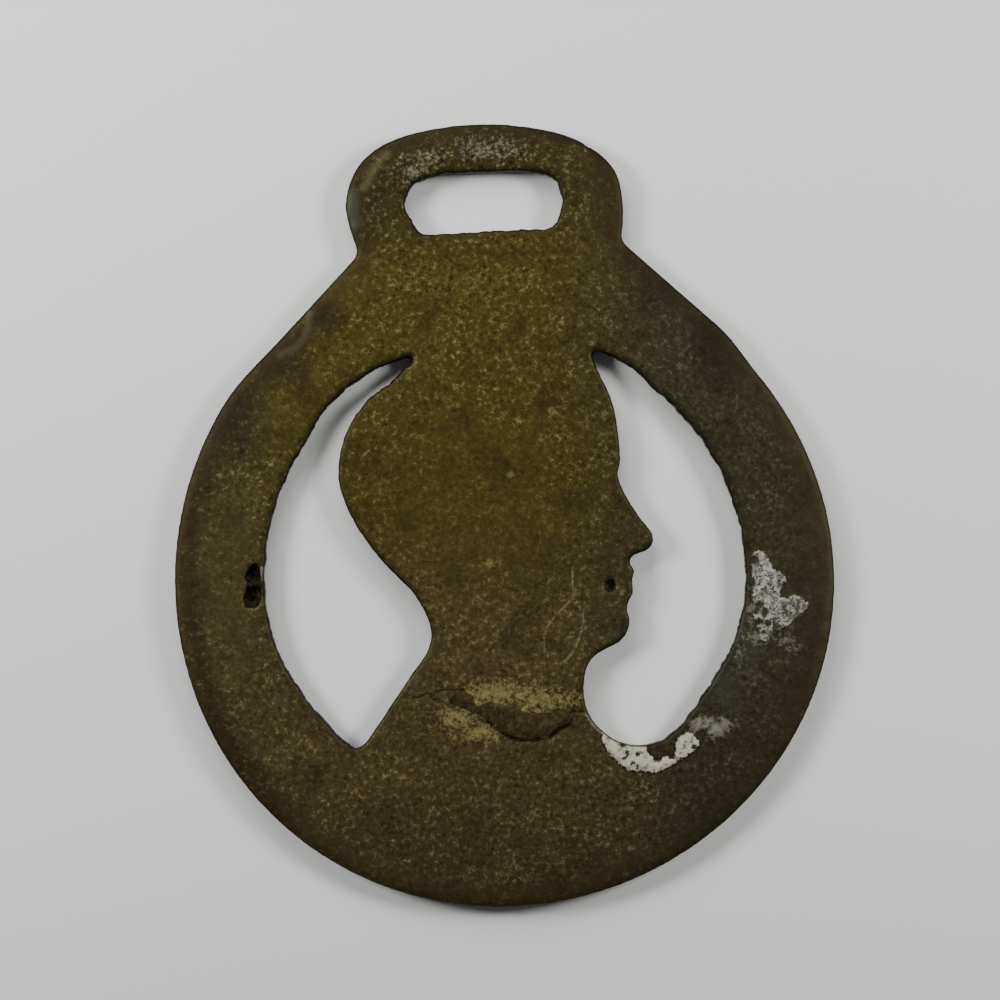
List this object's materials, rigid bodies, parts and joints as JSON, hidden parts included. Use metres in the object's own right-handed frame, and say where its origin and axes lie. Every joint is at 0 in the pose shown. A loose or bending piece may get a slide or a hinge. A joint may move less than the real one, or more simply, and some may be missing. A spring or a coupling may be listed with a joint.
{
  "type": "horse brass",
  "caption": "Cast brass harness ornament: pierced disc with a head in profile and a slotted hanger for a strap.",
  "frame": {"origin": "under the middle of the whole outline, on the surface that the brass lies on face down", "axes": "+Z out of the plain back, +Y from the disc towards the hanger, +X the way the head looks"},
  "size_m": [0.0826, 0.0984, 0.003],
  "materials": {
    "aged_brass": "dull brown patina over cast brass"
  },
  "bodies": {
    "root": {"horse_brass": "aged_brass"}
  },
  "joints": []
}
